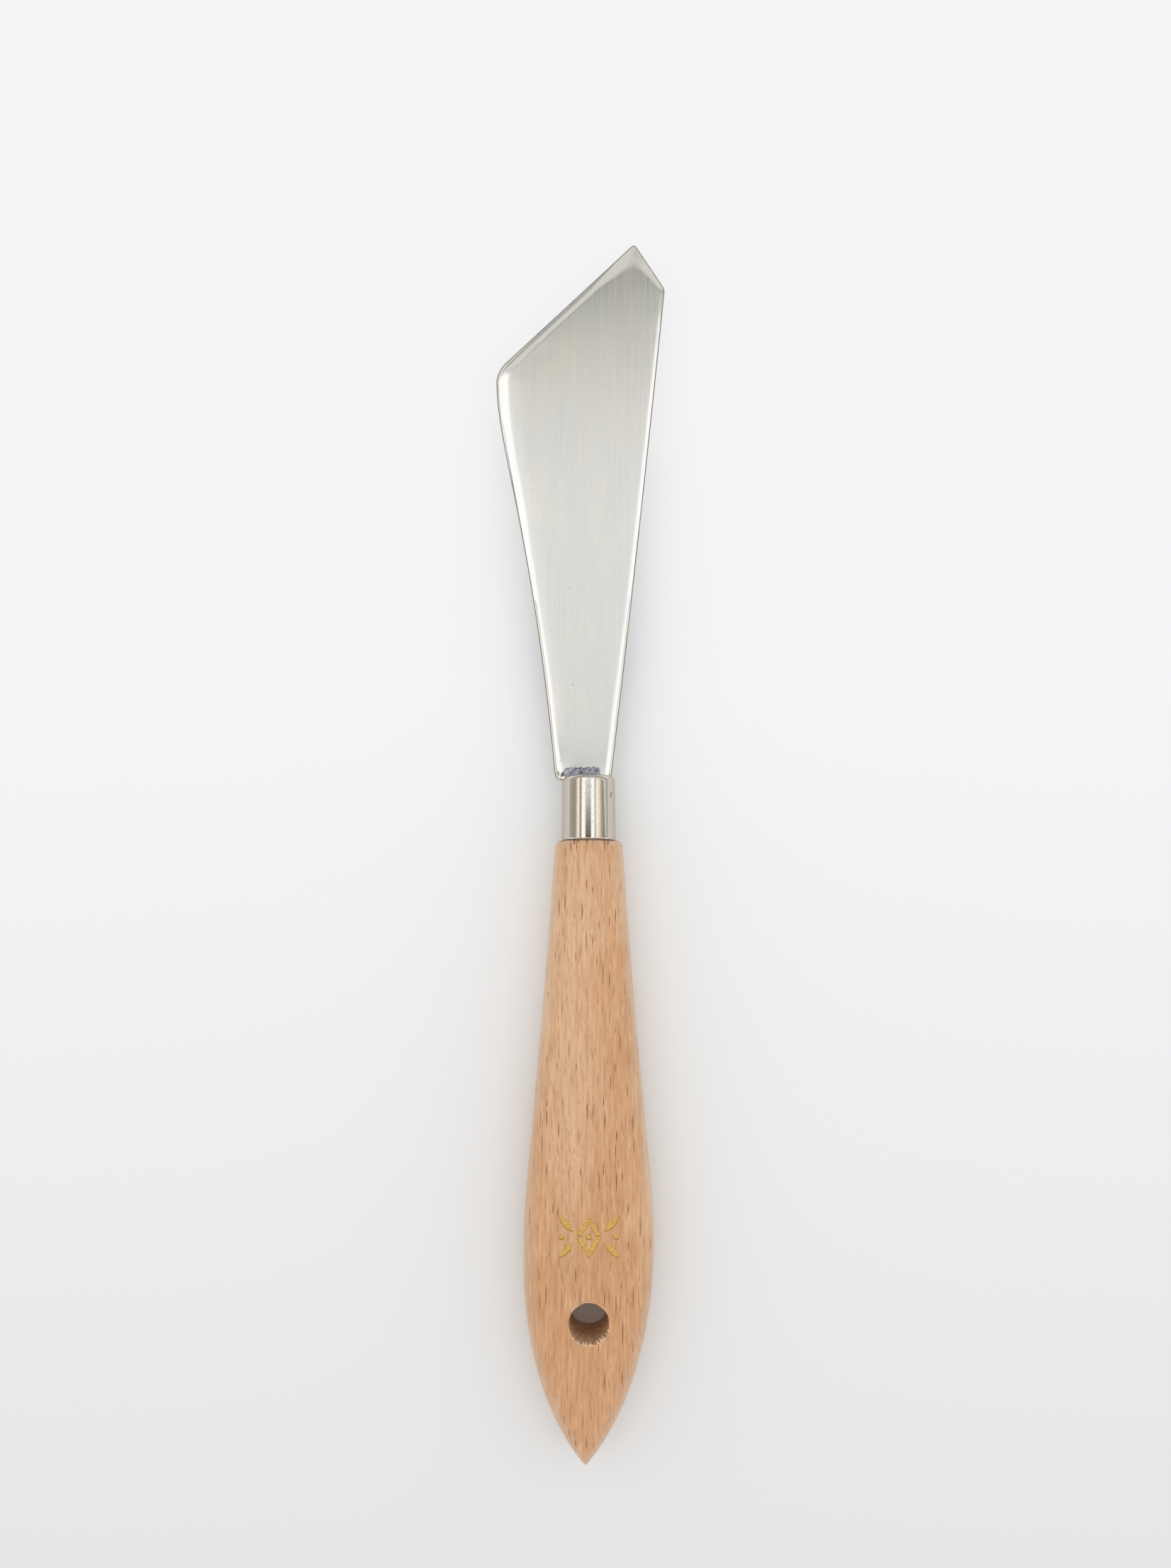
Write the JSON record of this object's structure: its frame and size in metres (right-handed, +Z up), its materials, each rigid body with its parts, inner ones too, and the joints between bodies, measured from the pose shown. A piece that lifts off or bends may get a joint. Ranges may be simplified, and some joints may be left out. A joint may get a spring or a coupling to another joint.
{
  "type": "palette knife",
  "caption": "Palette knife with a stiff, skewed steel blade, a nickel-plated ferrule and a flat, pointed beech handle with a hang hole, for mixing and spreading paint.",
  "frame": {"origin": "centre of the hang hole on the plane the knife lies on", "axes": "+Y along the knife from the hang hole to the blade's tip, +Z up out of the face seen in the picture and along the hang hole, +X to the right seen from above"},
  "size_m": [0.0333, 0.2286, 0.012],
  "materials": {
    "blade_steel": "finely ground along its length and polished, with a bright rim ground round its faces",
    "ferrule_nickel": "satin nickel plate on drawn steel",
    "weld": "rough blue-grey weld metal",
    "tang_steel": "bare drawn rod",
    "cement": "cured cement",
    "beech": "clear-lacquered beech with short dark flecks"
  },
  "bodies": {
    "root": {"blade": "blade_steel", "weld_bead_front": "weld", "weld_bead_back": "weld", "ferrule": "ferrule_nickel", "tang": "tang_steel", "tang_cement": "cement", "handle": "beech"}
  },
  "joints": []
}
